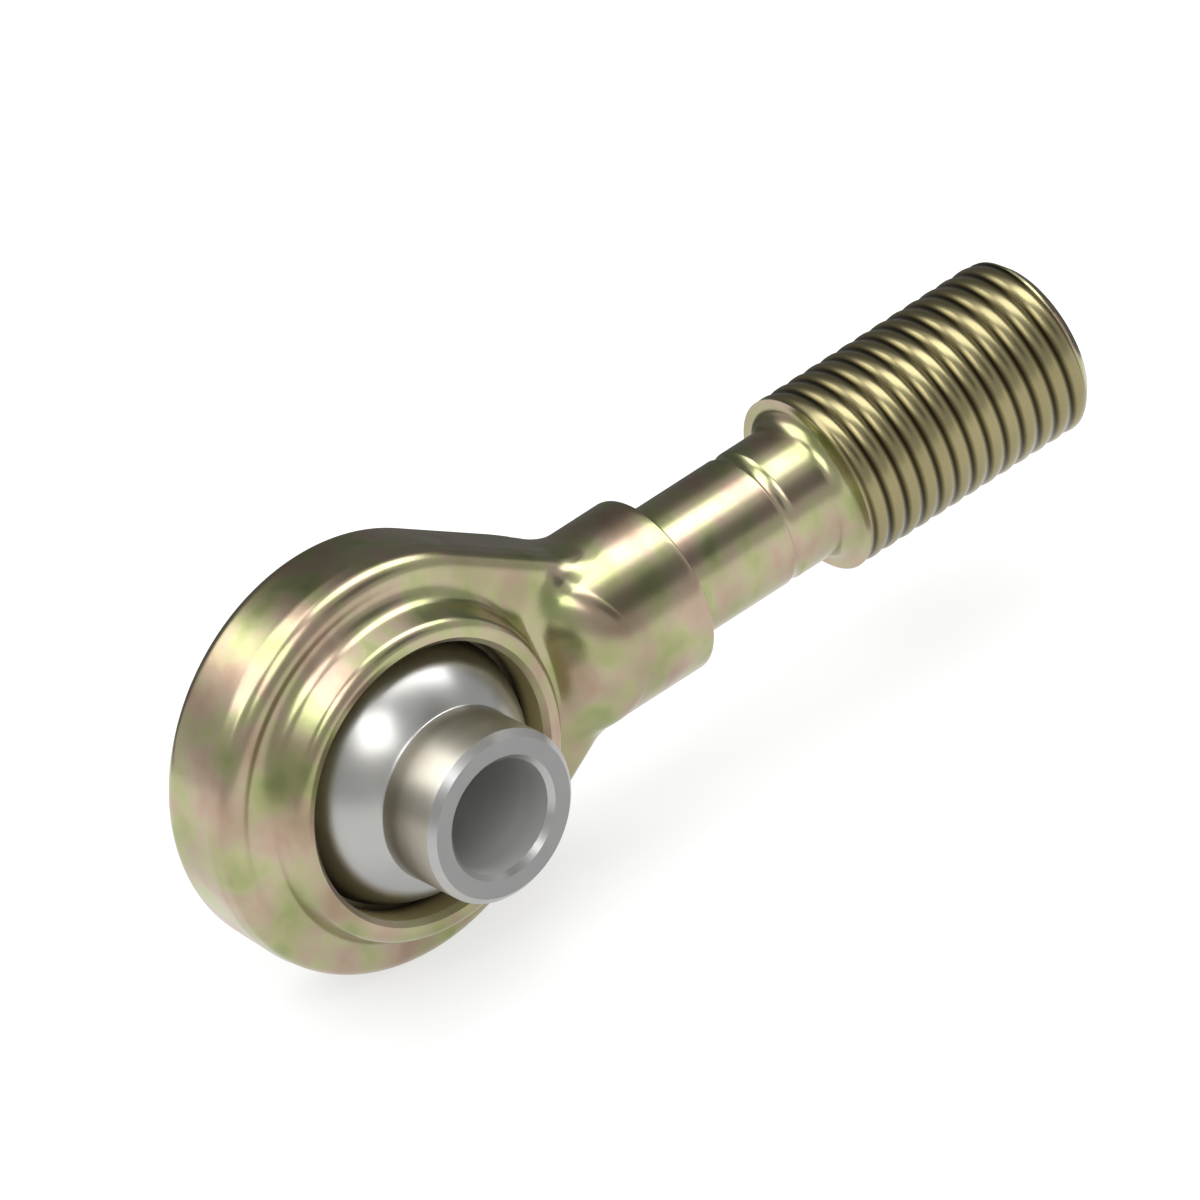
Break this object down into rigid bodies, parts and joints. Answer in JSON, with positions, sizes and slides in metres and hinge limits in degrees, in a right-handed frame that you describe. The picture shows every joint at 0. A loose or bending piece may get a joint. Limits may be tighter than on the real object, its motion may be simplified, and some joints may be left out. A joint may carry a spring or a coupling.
{
  "type": "link end",
  "caption": "Forged link end: an eye with a swivelling drilled ball, tapering to a turned neck and a threaded shank.",
  "frame": {"origin": "centre of the ball, on the axis of the hole through it", "axes": "+X along the shank towards the thread's free end, -Y along the ball's hole towards the face with the raised boss, +Z across both"},
  "size_m": [0.1242, 0.0438, 0.0512],
  "materials": {
    "body": "yellow zinc plating on a forging, mottled, turned on the shank",
    "race": "dark hardened steel, greased",
    "ball": "ground and polished steel"
  },
  "bodies": {
    "link": {"body": "body", "race": "race"},
    "ball": {"ball": "ball"}
  },
  "joints": [
    {"name": "ball_swivel", "type": "hinge", "parent": "link", "child": "ball", "pos_m": [0, 0, 0], "axis": [0, 0, 1], "range_deg": [-28, 28]}
  ]
}
